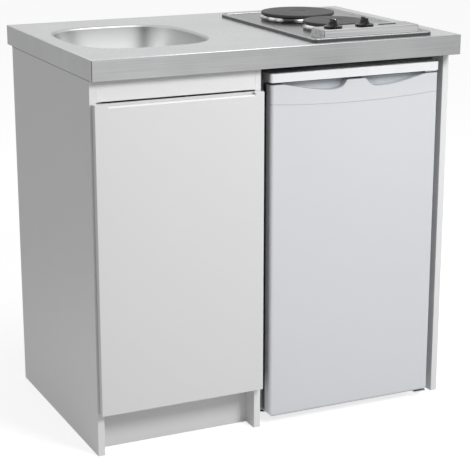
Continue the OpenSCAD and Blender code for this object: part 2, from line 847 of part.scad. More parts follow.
module condenser_tube() {
  r = 2.5;
  y = fr_back + 13;
  x0 = fr_x0 + 60;
  x1 = fr_x1 - 60;
  pitch = 52;
  bend = 26;
  z0 = 268;
  runs = 9;
  stub_z = cab_bottom + 90;
  stub_bend = 12;
  color(BLACK_PLASTIC) {
    for (i = [0:runs - 1]) bar_x(i == 0 ? fr_xc + stub_bend : x0, x1, y, z0 + pitch*i, r, 24);
    for (i = [0:runs - 2]) translate([i%2 == 0 ? x1 : x0, y, z0 + pitch*i + bend])
      rotate([90, i%2 == 0 ? 90 : -90, 0])
        rotate_extrude(angle = 180, $fn = 48) translate([bend, 0]) circle(r, $fn = 24);
    post(fr_xc, y, stub_z + stub_bend, z0 - stub_bend, r, 24);
    translate([fr_xc + stub_bend, y, z0 - stub_bend]) rotate([90, 0, 0])
      rotate([0, 0, 90]) rotate_extrude(angle = 90, $fn = 48)
        translate([stub_bend, 0]) circle(r, $fn = 24);
    translate([fr_xc, y - stub_bend, stub_z + stub_bend]) rotate([0, 90, 0])
      rotate_extrude(angle = 90, $fn = 48) translate([stub_bend, 0]) circle(r, $fn = 24);
    bar_y(fr_xc, 182, y - stub_bend, stub_z, r, 24);
    for (x = [x0 + 20, x1 - 20], i = [1, runs - 1])
      block(x - 5, x + 5, fr_back, y - 1, z0 + pitch*i - 2, z0 + pitch*i + 2);
  }
}

module condenser_wires() {
  wires = 22;
  x0 = fr_x0 + 66;
  step = (fr_w - 132)/(wires - 1);
  color(BLACK_PLASTIC) for (i = [0:wires - 1])
    post(x0 + step*i, fr_back + 13 + 2.5 + 0.75, 256, 256 + 440, 0.75, 16);
}

// brackets with the pins on which the refrigerator's door turns
module fridge_hinges() {
  color(STEEL) {
    difference() {
      slab(fr_x1 - 34, fr_x1 - 2, fr_front + 2, cab_front + 34, 13.5, 16.5, 3);
      for (y = [cab_front + 10, cab_front + 24]) post(fr_x1 - 18, y, 13, 17, 2.6, 24);
    }
    block(fr_x1 - 30, fr_x1 - 6, cab_front + 2, cab_front + 32, 16.5, cab_bottom);
    post(fr_pin_x, fr_pin_y, 16, fr_door_bottom + pin_len - 1, fr_pin_r);
    slab(fr_x1 - 34, fr_x1 - 2, fr_front + 2, cab_front, cab_top - 3, cab_top, 3);
    post(fr_pin_x, fr_pin_y, fr_door_top - pin_len + 1, cab_top - 2.5, fr_pin_r);
  }
}

// ---------------------------------------------------------------- inside the refrigerator

// formed freezer box with a hanging flap
module icebox() {
  x0 = hold_x0 + 4;
  x1 = hold_x1 - 4;
  z1 = hold_z1;
  t = 1.5;
  color("lightsteelblue") difference() {
    union() {
      difference() {
        translate([(x0 + x1)/2, 0, (ice_z0 + z1)/2]) rotate([90, 0, 0])
          translate([0, 0, -hold_back]) linear_extrude(hold_back - ice_front)
            rounded_rect(x1 - x0, z1 - ice_z0, 8);
        translate([(x0 + x1)/2, 0, (ice_z0 + z1)/2]) rotate([90, 0, 0])
          translate([0, 0, -hold_back + t]) linear_extrude(400)
            rounded_rect(x1 - x0 - 2*t, z1 - ice_z0 - 2*t, 8 - t);
      }
      for (x = [x0, x1 - t]) block(x, x + t, flap_pin_y - 5, ice_front + 5, flap_pin_z - 8, z1 - 8);
    }
    bar_x(x0 - past, x1 + past, flap_pin_y, flap_pin_z, 2.05, 32);
  }
}

module icebox_flap() {
  x0 = hold_x0 + 4;
  x1 = hold_x1 - 4;
  color("lightcyan") {
    block(x0 + 2, x1 - 2, flap_pin_y - 1.5, flap_pin_y + 1.5, ice_z0 + 3, flap_pin_z);
    bar_x(x0, x1, flap_pin_y, flap_pin_z, 2, 32);
    translate([(x0 + x1)/2, flap_pin_y - 1.5, ice_z0 + 22]) rotate([90, 0, 0])
      linear_extrude(5) rounded_rect(90, 8, 3.9);
  }
}

module fridge_shelves() {
  color("lightcyan") for (z = shelf_z) {
    slab(hold_x0 + 1, hold_x1 - 1, shelf_y[0], shelf_y[1], z, z + 4, 2);
    translate([0, shelf_y[0] - 3, z + 2]) bar_x(hold_x0 + 4, hold_x1 - 4, 0, 0, 4, 32);
  }
}

module crisper_cover() {
  color("lightcyan") slab(hold_x0 + 1, hold_x1 - 1, -124, 60, step_z, step_z + 4, 2);
}

// deep bin with drafted front, open at the top
module crisper() {
  color("lightcyan") difference() {
    slab(hold_x0 + 10, hold_x1 - 10, -130, step_y - 4, hold_z0 + slip, crisper_top, 8);
    slab(hold_x0 + 12, hold_x1 - 12, -128, step_y - 6, hold_z0 + 2.5, crisper_top + past, 6);
  }
}

module thermostat_housing() {
  color(WHITE_PLASTIC)
    slab(hold_x1 - 30, hold_x1, -100, 0, 560, 640, 5);
}

module thermostat_knob() {
  color(GREY_PLASTIC) translate([hold_x1 - 15, -100 - slip, 600]) rotate([90, 0, 0]) {
    difference() {
      cylinder(r = 12, h = 7, $fn = 48);
      for (i = [0:11]) rotate(30*i) translate([12.6, 0, -past]) cylinder(r = 1.4, h = 9, $fn = 16);
    }
    translate([0, 0, 6]) linear_extrude(5) rounded_rect(4, 20, 1.9);
  }
}

module lamp_cover() {
  color("white") slab(hold_x1 - 42, hold_x1 - 30, -84, -16, 575, 625, 4);
}

// ---------------------------------------------------------------- refrigerator door

// the whole front of the door drawn in by g: rounded upright edges, foot and lower corners
module door_front_form(g) {
  w = fr_w - 2*g;
  y = fr_front + g;
  z = fr_door_bottom + g;
  e = fr_edge_r - g;
  c = fr_corner_r - g;
  t = fr_door_back - y + (g > 0 ? past : 0);
  intersection() {
    translate([fr_xc, 0, z]) linear_extrude(fr_door_top - z) union() {
      translate([-w/2, y + e]) square([w, t - e]);
      translate([-w/2 + e, y]) square([w - 2*e, t]);
      for (s = [-1, 1]) translate([s*(w/2 - e), y + e]) circle(e, $fn = 48);
    }
    rotate([90, 0, 90]) linear_extrude(2*unit_w, center = true) union() {
      translate([y, z + e]) square([t, fr_door_top]);
      translate([y + e, z]) square([t - e, 100]);
      translate([y + e, z + e]) circle(e, $fn = 48);
    }
    translate([fr_xc, 0, z]) rotate([90, 0, 0]) linear_extrude(2*top_d, center = true) union() {
      translate([-w/2, c]) square([w, fr_door_top]);
      translate([-w/2 + c, 0]) square([w - 2*c, 100]);
      for (s = [-1, 1]) translate([s*(w/2 - c), c]) circle(c, $fn = 48);
    }
  }
}

// everything above the curved seam between door panel and grip, or g below it
module above_seam(g = 0) {
  bar_y(fr_xc, fr_front - 10, fr_door_back + 10, seam_mid + seam_r, seam_r + g, 360);
}

// steel skin open at the back, with a socket for the lower hinge pin
module fridge_door_panel() {
  color(WHITE_PLASTIC) difference() {
    union() {
      difference() {
        door_front_form(0);
        above_seam(seam_gap);
        difference() {
          door_front_form(skin);
          above_seam(seam_gap + skin);
        }
      }
      post(fr_pin_x, fr_pin_y, fr_door_bottom + 0.5, fr_door_bottom + pin_len, socket_r);
    }
    post(fr_pin_x, fr_pin_y, fr_door_bottom - past, fr_door_bottom + pin_len + past, fr_bore_r);
  }
}

module fridge_door_foam() {
  color("khaki") difference() {
    door_front_form(skin);
    above_seam(seam_gap + skin);
    block(fr_x0, fr_x1, fr_door_back, fr_door_back + 10, 0, fr_h);
    post(fr_pin_x, fr_pin_y, fr_door_bottom, fr_door_bottom + pin_len, socket_r);
  }
}

function bezier(p, t) = pow(1 - t, 3)*p[0] + 3*t*pow(1 - t, 2)*p[1]
                      + 3*t*t*(1 - t)*p[2] + pow(t, 3)*p[3];

// edge of one finger scoop, from the middle tab out to its tip
function scoop_edge() =
  let (low = [60, -scoop_drop])
  concat([for (t = [0:0.125:0.99]) bezier([[20, 0], [29, 0], [27, low[1]], low], t)],
         [for (t = [0:0.1:1]) bezier([low, [104, low[1]], [142, -9], [188, 0]], t)]);

module fridge_door_grip() {
  color(WHITE_PLASTIC) difference() {
    intersection() {
      door_front_form(0);
      above_seam();
    }
    for (s = [0, 1]) translate([fr_xc, fr_front - past, fr_door_top]) mirror([s, 0, 0])
      rotate([90, 0, 0]) mirror([0, 0, 1]) linear_extrude(scoop_deep + past)
        polygon(concat(scoop_edge(), [[188, past], [20, past]]));
    post(fr_pin_x, fr_pin_y, fr_door_top - pin_len, fr_door_top + past, fr_bore_r);
  }
}

// formed inner skin: a raised plug inside the seal, with posts for the racks
module fridge_door_liner() {
  y0 = fr_door_back;
  color(WHITE_PLASTIC) {
    slab(fr_x0 + 4, fr_x1 - 4, y0, y0 + 0.5, fr_door_bottom + 4, fr_door_top - 4, 0.2);
    translate([fr_xc, y0 + 14, (hold_z0 + hold_z1)/2]) rotate([90, 0, 0])
      linear_extrude(13.5) rounded_rect(334, hold_z1 - hold_z0 - 24, 14);
    for (x = [fr_xc - 161, fr_xc + 155])
      slab(x, x + 6, y0 + 13, y0 + 30, 86, 620, 2);
  }
}

// soft magnetic seal round the door
module fridge_gasket() {
  y0 = fr_door_back + 0.5;
  w = fr_w - 2*seal_inset;
  z0 = 35;
  z1 = cab_top - 12;
  color(GREY_PLASTIC) translate([fr_xc, fr_door_back + seal_t, (z0 + z1)/2]) rotate([90, 0, 0])
    difference() {
      linear_extrude(seal_t - 0.5) rounded_rect(w, z1 - z0, 6);
      translate([0, 0, -past]) linear_extrude(seal_t + 2*past)
        rounded_rect(w - 2*seal_w, z1 - z0 - 2*seal_w, 3);
    }
}

// trays on the door, open at the top
module door_racks() {
  y0 = fr_door_back + 14;
  x0 = fr_xc - 155;
  x1 = fr_xc + 155;
  color(WHITE_PLASTIC) for (i = [0:2]) difference() {
    slab(x0, x1, y0, y0 + rack_depth, rack_z[i], rack_z[i] + rack_h[i], 8);
    slab(x0 + 2, x1 - 2, y0 + 2, y0 + rack_depth - 2, rack_z[i] + 2.5, rack_z[i] + rack_h[i] + past,
         6);
  }
}

worktop();
worktop_core();
sink_bowl();
waste_flange();
waste_seal();
waste_body();
waste_screw();
trap_body();
trap_cup();
trap_nuts();
outlet_pipe();
left_panel();
middle_panel();
right_panel();
bottom_panel();
front_rail();
back_rail();
bay_rail();
plinth();
back_panel();
worktop_brackets();
hinge_plates();
hinge_arms();
sink_door();
hinge_cups();
door_bumpers();
hob_plate();
hob_underpan();
hotplate_large();
hotplate_small();
hotplate_rings();
hob_switches();
hob_lamp();
hob_terminal_box();
hob_knob_left();
hob_knob_right();
fridge_cabinet();
fridge_foam();
fridge_liner();
fridge_top();
fridge_base();
fridge_feet();
compressor();
condenser_tube();
condenser_wires();
fridge_hinges();
icebox();
icebox_flap();
fridge_shelves();
crisper_cover();
crisper();
thermostat_housing();
thermostat_knob();
lamp_cover();
fridge_door_panel();
fridge_door_foam();
fridge_door_grip();
fridge_door_liner();
fridge_gasket();
door_racks();
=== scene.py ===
"""Compact kitchenette: stainless worktop with bowl and hob, sink cabinet and refrigerator."""

import math

import bmesh
import bpy
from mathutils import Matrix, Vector


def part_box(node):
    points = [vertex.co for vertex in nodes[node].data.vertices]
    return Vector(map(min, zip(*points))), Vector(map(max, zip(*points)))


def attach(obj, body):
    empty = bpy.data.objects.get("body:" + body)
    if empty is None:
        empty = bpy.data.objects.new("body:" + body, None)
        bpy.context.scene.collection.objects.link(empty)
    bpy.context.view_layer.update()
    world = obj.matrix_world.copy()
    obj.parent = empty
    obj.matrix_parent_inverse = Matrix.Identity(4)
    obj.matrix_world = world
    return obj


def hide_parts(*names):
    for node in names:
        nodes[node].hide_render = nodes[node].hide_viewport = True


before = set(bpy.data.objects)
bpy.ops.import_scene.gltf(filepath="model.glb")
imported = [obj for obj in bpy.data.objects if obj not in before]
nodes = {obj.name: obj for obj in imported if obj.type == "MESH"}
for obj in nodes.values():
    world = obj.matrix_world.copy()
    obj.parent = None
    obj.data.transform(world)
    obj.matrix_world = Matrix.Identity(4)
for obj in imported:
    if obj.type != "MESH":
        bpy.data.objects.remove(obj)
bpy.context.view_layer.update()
scene = bpy.context.scene
MM = 0.001

# ---------------------------------------------------------------------------
# Camera: a long lens from the front left, a little above the worktop, so that
# the left side, the front and the bowl are seen as a shop would show them.

LENS_MM = 113.7
CAMERA_PLACE = (-1.467, -3.169, 1.365)
DOWN_DEGREES = 15.63
RIGHT_DEGREES = 25.08

camera_data = bpy.data.cameras.new("camera")
camera_data.lens = LENS_MM
camera_data.sensor_width = 36
camera_data.clip_end = 50
camera = bpy.data.objects.new("camera", camera_data)
camera.location = CAMERA_PLACE
camera.rotation_euler = (math.radians(90 - DOWN_DEGREES), 0, math.radians(-RIGHT_DEGREES))
scene.collection.objects.link(camera)
scene.camera = camera
scene.view_settings.view_transform = "Standard"


# ---------------------------------------------------------------------------
# Studio: a white floor that keeps the unit's shadow, a white surround and
# two large soft lamps. The finishes below are written with the same classes.


class Value:
    """A number or colour in a finish; arithmetic on it adds the nodes that work it out."""

    def __init__(self, finish, socket):
        self.finish = finish
        self.socket = socket

    def maths(self, operation, *others, flip=False):
        values = [self, *others][:: -1 if flip else 1]
        return self.finish.node("Math", {"operation": operation}, dict(enumerate(values)))

    def __add__(self, other):
        return self.maths("ADD", other)

    __radd__ = __add__

    def __mul__(self, other):
        return self.maths("MULTIPLY", other)

    __rmul__ = __mul__

    def __sub__(self, other):
        return self.maths("SUBTRACT", other)

    def __rsub__(self, other):
        return self.maths("SUBTRACT", other, flip=True)

    def __truediv__(self, other):
        return self.maths("DIVIDE", other)

    def __pow__(self, other):
        return self.maths("POWER", other)

    def held(self, low=0.0, high=1.0):
        return self.maths("MAXIMUM", low).maths("MINIMUM", high)

    def step(self, width=0.05 * MM):
        """0 below nought and 1 above width: where a coating or print starts."""
        return (self / width).held()


class Finish:
    """One surface finish: a node tree, and the one method that adds a node to it."""

    def __init__(self, name=None, tree=None):
        if tree is None:
            self.material = bpy.data.materials.new(name)
            self.material.use_nodes = True
            tree = self.material.node_tree
        self.tree = tree
        tree.nodes.clear()

    def node(self, kind, settings=None, sockets=None, output=0):
        made = self.tree.nodes.new("ShaderNode" + kind)
        settings = dict(settings or {})
        stops = settings.pop("stops", ())
        for key, value in settings.items():
            setattr(made, key, value)
        for i, (place, shade) in enumerate(stops):
            ramp = made.color_ramp.elements
            stop = ramp[i] if i < 2 else ramp.new(place)
            stop.position = place
            stop.color = (shade, shade, shade, 1)
        for key, value in (sockets or {}).items():
            if isinstance(value, Value):
                self.tree.links.new(value.socket, made.inputs[key])
            else:
                made.inputs[key].default_value = value
        return Value(self, made.outputs[output])

    def ray(self, kind):
        """1 for one kind of ray, Camera, Transmission or Glossy, and 0 for the others."""
        return self.node("LightPath", output=f"Is {kind} Ray")

    def place(self):
        """Where a point of the piece lies, in metres."""
        return self.node("TexCoord", output="Object")

    def split(self, place):
        """The x, y and z of a place."""
        parts = self.node("SeparateXYZ", None, {"Vector": place})
        return [Value(self, end) for end in parts.socket.node.outputs]

    def noise(self, place, scale, detail):
        return self.node("TexNoise", None, {"Vector": place, "Scale": scale, "Detail": detail})

    def cells(self, place, scale, feature="F1"):
        return self.node("TexVoronoi", {"feature": feature}, {"Vector": place, "Scale": scale})

    def mix(self, factor, first, second):
        colours = [c if isinstance(c, Value) else (*c, 1) for c in (first, second)]
        sockets = {0: factor, 6: colours[0], 7: colours[1]}
        return self.node("Mix", {"data_type": "RGBA"}, sockets, output=2)

    def toned(self, tone, colour):
        """A colour times a tone, which may run from 0 to 2."""
        return self.mix(tone * 0.5, (0, 0, 0), [2 * c for c in colour])

    def clouded(self, cloud, colour, part):
        """A colour that drifts by a small part of itself, as the cloud does."""
        dark = [c * (1 - part) for c in colour]
        return self.mix(cloud, dark, [min(c * (1 + part), 1) for c in colour])

    def surface(self, colour, roughness, relief, depth, **constants):
        """Ends the finish: relief gives heights in units of depth, in metres."""
        bump = self.node("Bump", None, {"Distance": depth, "Height": relief})
        sockets = {"Base Color": colour, "Roughness": roughness, "Normal": bump}
        for key, value in constants.items():
            sockets[key.replace("_", " ")] = value
        shader = self.node("BsdfPrincipled", None, sockets)
        self.node_output("OutputMaterial", shader)
        return self.material

    def node_output(self, kind, shader):
        end = self.tree.nodes.new("ShaderNode" + kind)
        self.tree.links.new(shader.socket, end.inputs["Surface"])


def link(obj):
    scene.collection.objects.link(obj)
    return obj


FLOOR_HALF_M = 12
FLOOR_GLOW = 0.75
FLOOR_GREY = 0.42

bm = bmesh.new()
bmesh.ops.create_grid(bm, x_segments=1, y_segments=1, size=FLOOR_HALF_M)
floor_mesh = bpy.data.meshes.new("studio_floor")
bm.to_mesh(floor_mesh)
bm.free()
floor = link(bpy.data.objects.new("studio_floor", floor_mesh))

# the floor glows for the camera, and less where polished steel mirrors its right and back
paint = Finish("white_floor")
right, back, _ = paint.split(paint.place())
dim_right = (right * 0.40 - 0.15).held(0, 0.45)
dim_back = (back - 0.4).held() * 0.5
mirrored = paint.ray("Glossy") * (1 - dim_right) * (1 - dim_back)
showing = (paint.ray("Camera") + paint.ray("Transmission") + mirrored).held()
glow = paint.node("Emission", None, {"Color": (1, 1, 1, 1), "Strength": showing * FLOOR_GLOW})
matt = paint.node("BsdfDiffuse", None, {"Color": (FLOOR_GREY, FLOOR_GREY, FLOOR_GREY, 1)})
paint.node_output("OutputMaterial", paint.node("AddShader", None, {0: glow, 1: matt}))
floor_mesh.materials.append(paint.material)

AMBIENT = 0.46
ROOM_LEFT_TO_RIGHT = (
    (0.0, 0.45), (0.12, 0.5), (0.20, 0.06), (0.29, 0.06), (0.40, 0.8),
    (0.52, 1.0), (0.78, 1.0), (0.90, 0.35), (1.0, 0.35),
)

world = bpy.data.worlds.new("studio")
world.use_nodes = True
scene.world = world
sky = Finish(tree=world.node_tree)
# polished steel mirrors light and dark panels low in front, and a darker far wall
side, across, up = sky.split(sky.node("TexCoord", output="Generated"))
panels = sky.node("ValToRGB", {"stops": ROOM_LEFT_TO_RIGHT}, {"Fac": side * 0.5 + 0.5})
front = (0.1 - across * 1.4).held()
low = (1.5 - up * 1.6).held()
far_wall = (across * 2).held()
dusk = (0.45 - up * 0.9).maths("MAXIMUM", 0.0)
room = (1 - front * low * (1 - panels)) * (1 - far_wall * dusk)
white = (sky.ray("Camera") + sky.ray("Transmission")).held()
mirrored = sky.ray("Glossy")
level = white + (1 - white) * (mirrored * room + (1 - mirrored) * AMBIENT)
sky.node_output(
    "OutputWorld", sky.node("Background", None, {"Color": (1, 1, 1, 1), "Strength": level})
)


def soft_lamp(name, place, target, size, watts):
    data = bpy.data.lights.new(name, "AREA")
    data.size = size
    data.energy = watts
    lamp = link(bpy.data.objects.new(name, data))
    lamp.location = place
    aim = Vector(target) - Vector(place)
    lamp.rotation_euler = aim.to_track_quat("-Z", "Y").to_euler()
    return lamp


key_lamp = soft_lamp("key_lamp", (0.9, -2.5, 2.35), (0.1, 0, 0.5), size=0.9, watts=60)
key_lamp.visible_glossy = False
soft_lamp("top_lamp", (0.5, -0.7, 3.0), (-0.1, 0, 0.8), size=1.6, watts=24)


# ---------------------------------------------------------------------------
# Worktop: one stainless sheet, 1 mm thick, folded down on all four sides and
# turned in under its chipboard board, with openings for the bowl and the hob.


def middle(node):
    """The middle of a CAD node's box."""
    low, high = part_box(node)
    return (low + high) / 2


def half_size(node):
    """Half the width, length and height of a CAD node's box."""
    low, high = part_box(node)
    return (high - low) / 2


WORKTOP_SIZE = half_size("worktop") * 2
WORKTOP_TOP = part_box("worktop")[1][2]
SHEET = 1 * MM
FOLD_RADIUS = 3 * MM
CORNER_RADIUS = 2 * MM
TURNED_IN = 14 * MM
BOWL_CENTRE = middle("sink_bowl")
BOWL_HALF = half_size("sink_bowl")[:2]
BOWL_POWER = 3.1
HOB_CENTRE = middle("hob_plate")
HOB_WIDE, HOB_LONG = [2 * half for half in half_size("hob_plate")[:2]]
HOB_OPENING = (HOB_WIDE - 24 * MM, HOB_LONG - 24 * MM, 8 * MM)


def drawn_outline(half_x, half_y, power, count=112):
    """Points of a rounded outline like the bowl's: 2 is an ellipse, more is squarer."""
    points = []
    for i in range(count):
        t = 2 * math.pi * (i + 0.5) / count
        x, y = [math.copysign(abs(f(t)) ** (2 / power), f(t)) for f in (math.cos, math.sin)]
        points.append((half_x * x, half_y * y))
    return points


def rounded_outline(width, length, radius, steps=8):
    """Points of a rectangle with round corners, anticlockwise."""
    points = []
    for corner in range(4):
        cx = (width / 2 - radius) * (1, -1, -1, 1)[corner]
        cy = (length / 2 - radius) * (1, 1, -1, -1)[corner]
        for k in range(steps + 1):
            t = math.pi / 2 * (corner + k / steps)
            points.append((cx + radius * math.cos(t), cy + radius * math.sin(t)))
    return points


def ring_edges(bm, loop):
    """The edges that join a closed ring of vertices."""
    return [bm.edges.get((loop[i - 1], loop[i])) for i in range(len(loop))]


def ring(bm, outline, centre, z, old=None):
    """One closed ring of edges; given the last ring, a band of faces joins the two."""
    if old is None:
        made = bmesh.ops.create_circle(bm, radius=1, segments=len(outline))["verts"]
        made.sort(key=lambda v: math.atan2(v.co.y, v.co.x))
    else:
        turn = {v: i for i, v in enumerate(old)}
        made = [None] * len(old)
        grown = bmesh.ops.extrude_edge_only(bm, edges=ring_edges(bm, old))["geom"]
        for v in [g for g in grown if isinstance(g, bmesh.types.BMVert)]:
            before = [e.other_vert(v) for e in v.link_edges if e.other_vert(v) in turn]
            made[turn[before[0]]] = v
    for v, (x, y) in zip(made, outline):
        v.co = (centre[0] + x, centre[1] + y, z)
    return made


def round_edges(bm, edges, radius, segments):
    bmesh.ops.bevel(
        bm, geom=edges, offset=radius, offset_type="OFFSET", segments=segments, profile=0.5,
        affect="EDGES", material=-1, clamp_overlap=True,
    )


def finish_piece(bm, name, body, finish, replaced, sharp):
    """Turns a bmesh into a piece that rides on a body and stands for CAD nodes."""
    mesh = bpy.data.meshes.new(name)
    bm.to_mesh(mesh)
    bm.free()
    mesh.polygons.foreach_set("use_smooth", [True] * len(mesh.polygons))
    mesh.set_sharp_from_angle(angle=math.radians(sharp))
    mesh.materials.append(finish)
    piece = link(bpy.data.objects.new(name, mesh))
    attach(piece, body)
    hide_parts(*replaced)
    return piece


def modify(piece, kind, **settings):
    modifier = piece.modifiers.new(kind.lower(), kind)
    for key, value in settings.items():
        setattr(modifier, key, value)


def brushed(name, shade, direction, roughness, grain=1.0, reflection_streaks=0.0, printed=None):
    """Stainless steel, hairlines along x, y or z; printed gives 1 where there is black ink. Its
    broad light and dark bands along the hairlines are painted reflections.
    """
    steel = Finish(name)
    place = steel.place()
    stretch = {"x": (4, 420, 420), "y": (420, 4, 420), "z": (420, 420, 4)}[direction]
    lines = steel.node("Mapping", None, {"Vector": place, "Scale": stretch})
    hair = steel.noise(lines, 1, 3)
    cloud = steel.noise(place, 9, 2)
    # broad bands along the hairlines: painted reflections
    painted_streak = steel.noise(lines, 0.3, 2)
    tone = (hair - 0.5) * (0.42 * grain) + (cloud - 0.5) * 0.22 + (painted_streak - 0.5) * reflection_streaks + 1.0
    shine = (hair - 0.5) * (0.16 * grain) + (cloud - 0.5) * 0.10 + roughness
    if printed is not None:
        x, y, _ = steel.split(place)
        tone = tone * (1 - printed(x, y) * 0.92)
    return steel.surface(steel.toned(tone, shade), shine, hair, 0.04 * MM * grain, Metallic=1.0)


def linen_steel(name, shade):
    """Stainless worktop sheet with the fine pressed grain that hides scratches."""
    steel = Finish(name)
    place = steel.place()
    cells = steel.cells(place, 420, "SMOOTH_F1")
    speck = steel.noise(place, 210, 5)
    cloud = steel.noise(place, 6, 3)
    wear = steel.noise(place, 55, 4)
    tone = (cells - 0.4) * 0.14 + (speck - 0.5) * 0.56 + (cloud - 0.5) * 0.14 + 1.0
    shine = (speck - 0.5) * 0.18 + (wear - 0.5) * 0.10 + 0.40
    return steel.surface(steel.toned(tone, shade), shine, cells + speck, 0.07 * MM, Metallic=1.0)


APRON_STEEL = brushed("apron_steel", (0.54, 0.543, 0.548), "x", 0.34)
TOP_STEEL = linen_steel("pressed_grain_steel", (0.66, 0.665, 0.67))
# Near-black steel for the fold's corner seams: painted shade, standing in for an open slit at each
# corner.
CORNER_SHADE_STEEL = brushed("corner_seam_painted_shade", (0.06, 0.06, 0.062), "z", 0.4)

bm = bmesh.new()
bmesh.ops.create_cube(bm, size=1)
bmesh.ops.scale(bm, vec=WORKTOP_SIZE, verts=bm.verts)
bmesh.ops.translate(bm, vec=(0, 0, WORKTOP_TOP - WORKTOP_SIZE[2] / 2), verts=bm.verts)
bottom = [f for f in bm.faces if f.normal.z < -0.9]
bmesh.ops.inset_region(bm, faces=bottom, thickness=TURNED_IN)
bmesh.ops.delete(bm, geom=bottom, context="FACES_ONLY")
top = [f for f in bm.faces if f.normal.z > 0.9]
round_edges(bm, list(top[0].edges), FOLD_RADIUS, 6)
corners = [e for e in bm.edges if abs((e.verts[0].co - e.verts[1].co).normalized().z) > 0.99]
round_edges(bm, corners, CORNER_RADIUS, 4)
top = [f for f in bm.faces if f.normal.z > 0.999 and f.calc_area() > 0.2]
top_edges = list(top[0].edges)
bmesh.ops.delete(bm, geom=top, context="FACES_ONLY")
bowl_hole = ring(bm, drawn_outline(*BOWL_HALF, BOWL_POWER), BOWL_CENTRE, WORKTOP_TOP)
hob_hole = ring(bm, rounded_outline(*HOB_OPENING), HOB_CENTRE, WORKTOP_TOP)
top_edges += ring_edges(bm, bowl_hole) + ring_edges(bm, hob_hole)
bmesh.ops.triangle_fill(bm, edges=top_edges, use_beauty=True, normal=(0, 0, 1))
bmesh.ops.recalc_face_normals(bm, faces=bm.faces)

# Faces round the four corner folds take the near-black steel, painted shade over the seam.
corner_shade_from = WORKTOP_SIZE[0] / 2 - 2.5 * MM
for f in bm.faces:
    slanted = abs(f.normal.z) < 0.2 and max(abs(f.normal.x), abs(f.normal.y)) < 0.97
    painted_shade_line = slanted and abs(f.calc_center_median().x) > corner_shade_from
    f.material_index = 1 if f.normal.z > 0.6 else 2 if painted_shade_line else 0
worktop = finish_piece(
    bm, "worktop_sheet", "carcass", APRON_STEEL, ["worktop"], 80
)
worktop.data.materials.append(TOP_STEEL)
worktop.data.materials.append(CORNER_SHADE_STEEL)
modify(worktop, "SOLIDIFY", thickness=SHEET, offset=-1)
modify(worktop, "WEIGHTED_NORMAL", keep_sharp=True, weight=80)


# ---------------------------------------------------------------------------
# Bowl: deep drawn from stainless sheet, welded into the worktop. A rolled rim,
# drafted wall, wide heel and a floor that falls to the seat of the waste.

BOWL_DEEP = 150 * MM
RIM_ROLL = 6 * MM
WALL_LEAN = 14 * MM
HEEL_RADIUS = 85 * MM
DRAIN_SEAT = 46 * MM
DRAIN_FALL = 3 * MM
SEAT_SECTION = ((45, 0.8), (44, 2.2), (43, 3.0), (30, 3.0))


def satin_steel(name, shade):
    """The bowl's satin polish with faint drawing marks down the wall; painted shade darkens it on
    the rim and upper wall, and painted reflection brightens it lower down.
    """
    steel = Finish(name)
    place = steel.place()
    cloud = steel.noise(place, 14, 4)
    fine = steel.noise(place, 900, 3)
    tone = (cloud - 0.5) * 0.06 + (fine - 0.5) * 0.08 + 1.0
    shine = (cloud - 0.5) * 0.06 + (fine - 0.5) * 0.10 + 0.33
    height = steel.split(place)[2]
    # painted shade on the rim roll; painted reflection grows down the wall, to full brightness
    # about 63 mm below the top
    rim = (height - (WORKTOP_TOP - 3 * MM)).step(2 * MM)
    deep = (WORKTOP_TOP - 8 * MM - height).step(55 * MM)
    colour = steel.toned(tone * (0.62 + deep * 0.38), shade)
    colour = steel.mix(rim * 0.35, colour, (0.30, 0.30, 0.305))
    return steel.surface(colour, shine, cloud * 2 + fine, 0.05 * MM, Metallic=1.0)


def pressed(bm, levels, centre, base):
    """Bands of faces through a stack of (outline, height); gives the first and last ring."""
    rings = []
    for outline, height in levels:
        rings.append(ring(bm, outline, centre, base + height, rings[-1] if rings else None))
    return rings[0], rings[-1]


def face_up(bm):
    """Turns an open pressing's faces, which all agree, to the side that is seen from above."""
    bm.normal_update()
    if sum(f.normal.z * f.calc_area() for f in bm.faces) < 0:
        bmesh.ops.reverse_faces(bm, faces=bm.faces)


BOWL_STEEL = satin_steel("bowl_satin_steel", (0.95, 0.955, 0.96))

heel_in = RIM_ROLL + WALL_LEAN + HEEL_RADIUS
heel_z = HEEL_RADIUS - BOWL_DEEP
section = []
for k in range(9):
    t = math.pi / 2 * k / 8
    section.append((RIM_ROLL * math.sin(t), -RIM_ROLL * (1 - math.cos(t))))
for k in (0.25, 0.5, 0.75):
    section.append((RIM_ROLL + WALL_LEAN * k, -RIM_ROLL + (heel_z + RIM_ROLL) * k))
for k in range(13):
    t = math.pi / 2 * k / 12
    section.append((heel_in - HEEL_RADIUS * math.cos(t), heel_z - HEEL_RADIUS * math.sin(t)))
levels = []
for inset, height in section:
    levels.append((drawn_outline(*[h - inset for h in BOWL_HALF], BOWL_POWER), height))
for s in (0.25, 0.5, 0.75, 0.97, 1.0):
    halves = [(h - heel_in) * (1 - s) + DRAIN_SEAT * s for h in BOWL_HALF]
    power = BOWL_POWER * (1 - s) + 2 * s
    levels.append((drawn_outline(*halves, power), -BOWL_DEEP - DRAIN_FALL * s))
for radius, drop in SEAT_SECTION:
    outline = drawn_outline(radius * MM, radius * MM, 2)
    levels.append((outline, -BOWL_DEEP - DRAIN_FALL - drop * MM))

bm = bmesh.new()
pressed(bm, levels, BOWL_CENTRE, WORKTOP_TOP)
face_up(bm)
bowl = finish_piece(bm, "drawn_bowl", "carcass", BOWL_STEEL, ["sink_bowl"], 60)
modify(bowl, "SOLIDIFY", thickness=SHEET, offset=-1)


# ---------------------------------------------------------------------------
# Hob: one steel pressing with a raised border, a sunk deck and a raised console
# for the controls, set over the worktop's opening. The border's and the
# console's sections are (let out, height), in mm.

